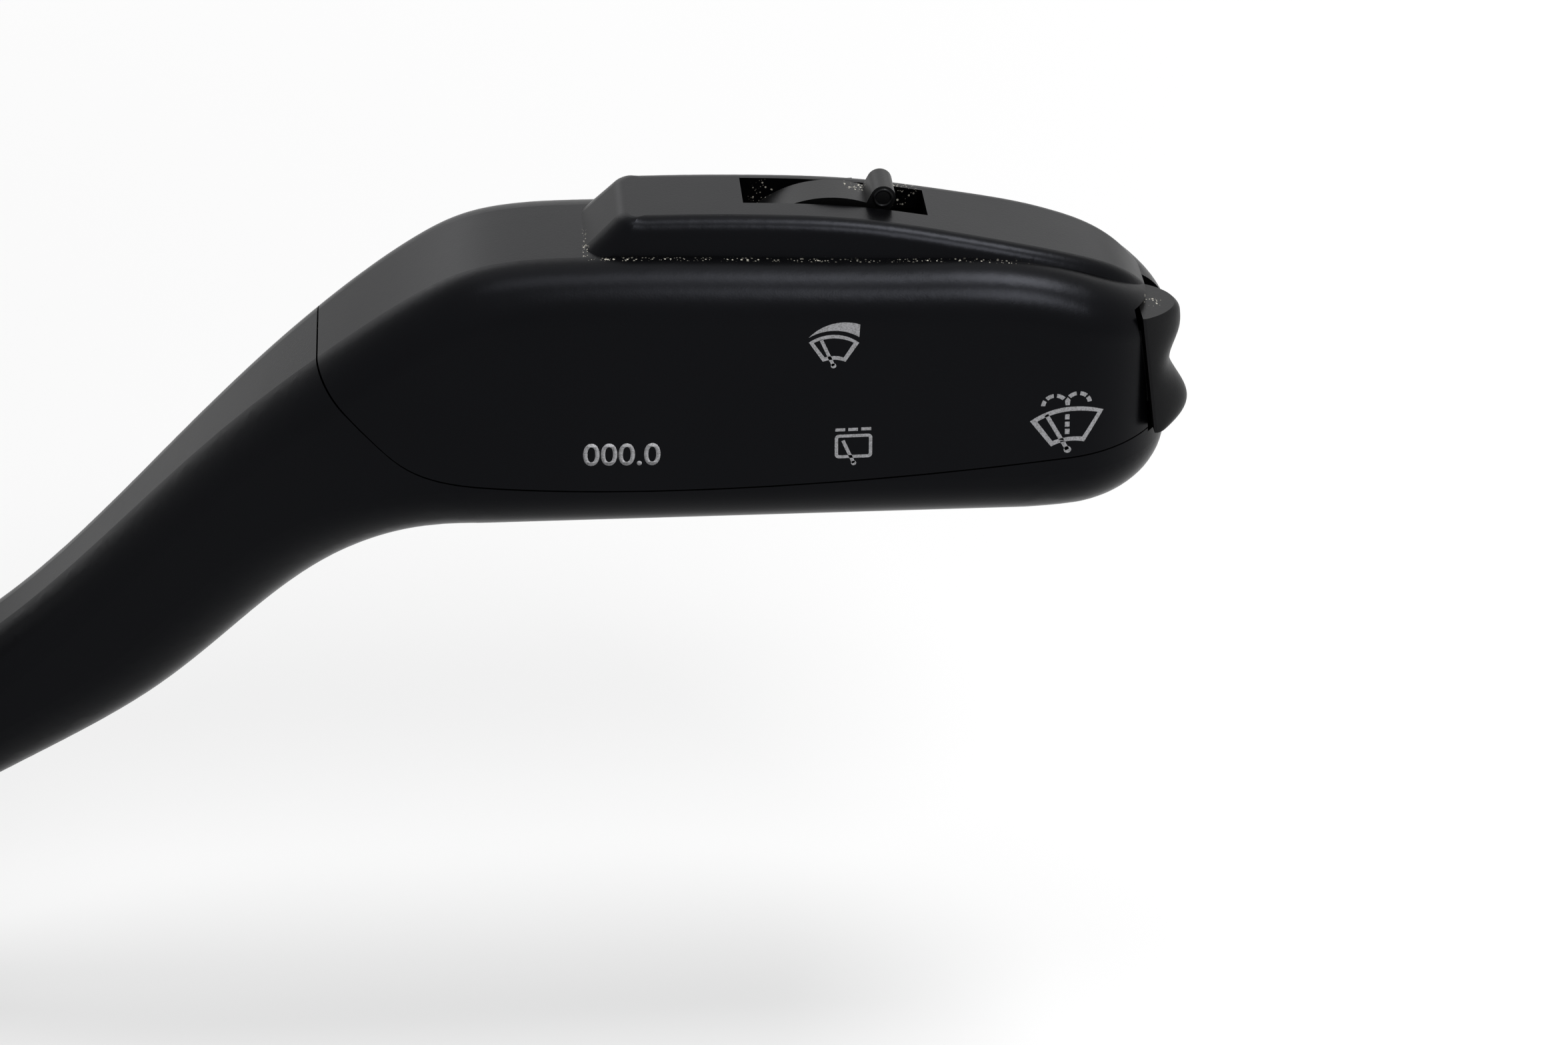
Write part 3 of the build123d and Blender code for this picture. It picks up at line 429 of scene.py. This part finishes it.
def printOn(name, outlines):
    # each group of outlines is filled on its own, a second one inside the first being its hole
    made = []
    for group in outlines:
        curve = bpy.data.curves.new(name, "CURVE")
        curve.dimensions = "2D"
        curve.fill_mode = "BOTH"
        for outline in group:
            spline = curve.splines.new("POLY")
            spline.points.add(len(outline) - 1)
            for point, (along, height) in zip(spline.points, outline):
                point.co = (along * mm, height * mm, 0, 1)
            spline.use_cyclic_u = True
        piece = bpy.data.objects.new(name, curve)
        bpy.context.collection.objects.link(piece)
        made.append(piece)
    return layOnGrip(name, made)


def layOnGrip(name, made):
    deselectAll()
    for piece in made:
        piece.select_set(True)
    bpy.context.view_layer.objects.active = made[0]
    bpy.ops.object.convert(target="MESH")
    if len(made) > 1:
        bpy.ops.object.join()
    piece = bpy.context.object
    piece.name = name
    piece.rotation_euler = (math.radians(90), 0, 0)
    piece.location = gripCorner
    settle(piece)
    bpy.ops.object.mode_set(mode="EDIT")
    bpy.ops.mesh.select_all(action="SELECT")
    bpy.ops.mesh.remove_doubles(threshold=markMerge * mm)
    bpy.ops.mesh.normals_make_consistent(inside=False)
    # cuts across a mark, where it has to bend round the tip
    for number in range(tipRound["cuts"]):
        cut = inGrip(tipRound["start"] + number * tipRound["cutPitch"], 0, 0)
        bpy.ops.mesh.select_all(action="SELECT")
        bpy.ops.mesh.bisect(plane_co=cut, plane_no=(1, 0, 0))
    bpy.ops.object.mode_set(mode="OBJECT")
    for vertex in piece.data.vertices:
        past = (vertex.co.x - gripCorner.x) / mm - tipRound["start"]
        if past > 0:
            radius = tipRound["radius"]
            vertex.co.y += (radius - math.sqrt(radius**2 - past**2)) * mm
        vertex.co.y -= markLift * mm
    if piece.data.polygons[0].normal.y > 0:
        bpy.ops.object.mode_set(mode="EDIT")
        bpy.ops.mesh.select_all(action="SELECT")
        bpy.ops.mesh.flip_normals()
        bpy.ops.object.mode_set(mode="OBJECT")
    skin = piece.modifiers.new("skin", "SOLIDIFY")
    skin.thickness = markSkin * mm
    skin.offset = 1.0
    bpy.ops.object.modifier_apply(modifier="skin")
    piece.data.materials.clear()
    piece.data.materials.append(ink)
    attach(piece, "lever")
    return piece


frontWipe = {
    "outerTop": ((50.64, 22.31), (53.18, 23.06), (55.58, 22.10)),
    "outerFoot": ((54.25, 20.05), (53.25, 20.32), (52.02, 20.14)),
    "innerTop": ((51.11, 22.25), (53.18, 22.68), (55.05, 22.13)),
    "innerFoot": ((54.07, 20.52), (53.25, 20.72), (52.20, 20.60)),
    "arm": ((51.84, 22.60), (53.08, 19.64)), "armWidth": 0.34, "hub": 0.27,
    "wedgeTop": ((50.64, 22.85), (53.17, 24.30), (55.68, 24.10)),
    "wedgeFoot": ((55.60, 22.73), (53.17, 23.52), (50.64, 22.85)),
}
rearWipe = {
    "dashes": ((53.30, 12.27, 54.27, 12.60), (54.58, 12.27, 55.54, 12.60), (55.87, 12.29, 56.86, 12.62)),
    "pane": ((53.25, 9.22), (56.98, 11.89)), "wall": 0.33, "corner": 0.42, "innerCorner": 0.15,
    "arm": ((54.06, 11.21), (55.14, 8.64)), "armWidth": 0.34, "hub": 0.26,
}
washWipe = {
    "outerTop": ((72.68, 12.57), (77.01, 14.07), (80.06, 13.40)),
    "outerFoot": ((78.18, 10.05), (76.95, 10.23), (74.87, 9.64)),
    "innerTop": ((73.40, 12.51), (77.02, 13.60), (79.48, 13.22)),
    "innerFoot": ((77.98, 10.60), (76.94, 10.67), (74.98, 10.25)),
    "arm": ((74.30, 13.25), (76.52, 9.23)), "armWidth": 0.42, "hub": 0.38,
    "drops": ((76.18, 12.66, 76.63, 13.22), (76.19, 11.83, 76.65, 12.39), (76.21, 11.00, 76.67, 11.58)),
    "stem": ((76.18, 14.26), (76.60, 14.26), (76.66, 14.84), (76.38, 15.14), (76.12, 14.80)),
    "leftSpray": {
        "centre": (75.14, 14.16), "radius": 1.20, "width": 0.42, "dashes": ((176, 148), (135, 98), (82, 44)),
    },
    "rightSpray": {
        "centre": (77.42, 14.36), "radius": 1.20, "width": 0.42, "dashes": ((136, 98), (80, 47), (36, 8)),
    },
}


def armOf(facts):
    return [[barBetween(*facts["arm"], facts["armWidth"])], [ringAt(facts["arm"][1], facts["hub"])]]


def paneOf(facts):
    (left, foot), (right, top) = facts["pane"]
    wall = facts["wall"]
    return [roundedBox((left, foot), (right, top), facts["corner"]),
            roundedBox((left + wall, foot + wall), (right - wall, top - wall), facts["innerCorner"])]


def sprayOf(facts):
    return [[dashOn(facts["centre"], facts["radius"], *dash, facts["width"])] for dash in facts["dashes"]]


wedge = arcThrough(*frontWipe["wedgeTop"]) + arcThrough(*frontWipe["wedgeFoot"])[:-1]
printOn("markFrontWipe", [windscreen(frontWipe)] + armOf(frontWipe) + [[wedge]])
dashes = [[boxAt(dash[:2], dash[2:])] for dash in rearWipe["dashes"]]
printOn("markRearWipe", [paneOf(rearWipe)] + armOf(rearWipe) + dashes)
drops = [[boxAt(drop[:2], drop[2:])] for drop in washWipe["drops"]]
sprays = sprayOf(washWipe["leftSpray"]) + sprayOf(washWipe["rightSpray"])
printOn("markWash", [windscreen(washWipe)] + armOf(washWipe) + [[list(washWipe["stem"])]] + drops + sprays)

digits = {
    "body": "000.0", "left": 28.26, "foot": 9.45, "width": 7.65, "height": 2.50,
    "lean": -1.6, "bolder": 0.012,
}


def addDigits():
    bpy.ops.object.text_add()
    text = bpy.context.object
    text.data.body = digits["body"]
    text.data.offset = digits["bolder"]
    bpy.ops.object.convert(target="MESH")
    text = bpy.context.object
    xs = [vertex.co.x for vertex in text.data.vertices]
    ys = [vertex.co.y for vertex in text.data.vertices]
    stretch = (digits["width"] / (max(xs) - min(xs)) * mm, digits["height"] / (max(ys) - min(ys)) * mm)
    wide = Matrix.Diagonal((*stretch, 1, 1))
    text.data.transform(wide @ Matrix.Translation((-min(xs), -min(ys), 0)))
    text.data.transform(Matrix.Translation((digits["left"] * mm, digits["foot"] * mm, 0))
                        @ Matrix.Rotation(math.radians(digits["lean"]), 4, "Z"))
    return layOnGrip("markDigits", [text])


addDigits()
print("printed marks laid on the grip")


# places are those of the heads' middles
coverScrews = {
    "node": "cover_screws", "body": "base", "head": 2.5, "headDepth": 1.6, "shank": 1.25, "length": 9.9,
    "recess": {"width": 0.55, "depth": 0.95}, "turn": -90,
    "places": [(x, -32.4, z) for x in (-20.0, 10.0) for z in (-22.6, 20.6)],
}
gripScrews = {
    "node": "grip_screws", "body": "lever", "head": 2.1, "headDepth": 1.4, "shank": 1.0, "length": 11.5,
    "recess": {"width": 0.5, "depth": 0.85}, "turn": 0,
    "places": [(80.0 + along, -37.0 + 7.2, 33.0 + 3.2) for along in (22.0, 68.5)],
}


# the tip is a share of the shank's length, its rounding one of the head's depth, and the recess
# reaches a multiple of the head's radius
screwShape = {
    "sides": 40, "tip": 0.14, "tipTaper": 0.35, "tipRound": 0.42, "tipSteps": 4,
    "recessReach": 1.15, "recessTaper": 0.45, "smoothBelow": 32,
}


def addScrew(name, facts, place, angle):
    # made head down, and then set with the middle of its head at its place
    head, depth, shank, length = (facts[key] * mm for key in ("head", "headDepth", "shank", "length"))
    bpy.ops.mesh.primitive_cylinder_add(vertices=screwShape["sides"], radius=head, depth=depth,
                                        location=(0, 0, -depth / 2))
    piece = bpy.context.object
    piece.name = name
    bpy.ops.object.mode_set(mode="EDIT")
    bpy.ops.mesh.select_mode(type="FACE")
    bpy.ops.mesh.select_all(action="DESELECT")
    bpy.ops.object.mode_set(mode="OBJECT")
    seat = max(piece.data.polygons, key=lambda face: face.center.z)
    piece.data.polygons[seat.index].select = True
    bpy.ops.object.mode_set(mode="EDIT")
    bpy.ops.mesh.inset(thickness=head - shank)
    for share in (1 - screwShape["tip"], screwShape["tip"]):
        bpy.ops.mesh.extrude_region_move(TRANSFORM_OT_translate={"value": (0, 0, length * share)})
    taper = screwShape["tipTaper"]
    bpy.ops.transform.resize(value=(taper, taper, 1), center_override=(0, 0, length))
    # the end of the tip is still selected here, and its rim is what this rounds
    bpy.ops.mesh.bevel(offset=depth * screwShape["tipRound"], segments=screwShape["tipSteps"], affect="EDGES")
    bpy.ops.object.mode_set(mode="OBJECT")
    for turn in (0, 90):
        cutRecess(piece, facts["recess"], head, depth, turn)
    pick(piece)
    bpy.ops.object.shade_smooth_by_angle(angle=math.radians(screwShape["smoothBelow"]))
    piece.rotation_euler = (math.radians(facts["turn"]), 0, 0)
    piece.rotation_euler.rotate_axis("Z", math.radians(angle))
    piece.location = Vector(place) * mm
    settle(piece)
    piece.data.materials.clear()
    piece.data.materials.append(materials["steel"])
    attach(piece, facts["body"])
    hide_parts(facts["node"])


def cutRecess(piece, recess, head, depth, turn):
    # one arm of the cross recess, smaller at its floor
    bpy.ops.mesh.primitive_cube_add(size=1, location=(0, 0, -depth))
    tool = bpy.context.object
    tool.scale = (head * screwShape["recessReach"], recess["width"] * mm, 2 * recess["depth"] * mm)
    tool.rotation_euler = (0, 0, math.radians(turn))
    settle(tool)
    for vertex in tool.data.vertices:
        if vertex.co.z > -depth:
            vertex.co.x *= screwShape["recessTaper"]
            vertex.co.y *= screwShape["recessTaper"]
    pick(piece)
    cut = piece.modifiers.new("recess", "BOOLEAN")
    cut.operation = "DIFFERENCE"
    cut.object = tool
    bpy.ops.object.modifier_apply(modifier="recess")
    bpy.data.objects.remove(tool)


chance = random.Random(7)
for label, screwFacts in (("coverScrew", coverScrews), ("gripScrew", gripScrews)):
    for number, screwPlace in enumerate(screwFacts["places"]):
        addScrew(label + str(number + 1), screwFacts, screwPlace, chance.uniform(0, 90))
print("screws placed")


# the thin rim round the end of the wheel's knob
knobRim = {
    "along": 58.79, "height": 32.88, "front": 10.0, "radius": 0.86, "thick": 0.17, "sides": (48, 10),
}


def addKnobRim():
    place = inGrip(knobRim["along"], knobRim["front"], knobRim["height"])
    around, across = knobRim["sides"]
    bpy.ops.mesh.primitive_torus_add(major_segments=around, minor_segments=across,
                                     major_radius=knobRim["radius"] * mm, minor_radius=knobRim["thick"] * mm,
                                     location=place, rotation=(math.radians(90), 0, 0))
    rim = bpy.context.object
    rim.name = "knobRim"
    settle(rim)
    bpy.ops.object.shade_smooth()
    rim.data.materials.append(materials["control_plastic"])
    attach(rim, "wheel")


addKnobRim()
print("knob rim placed")
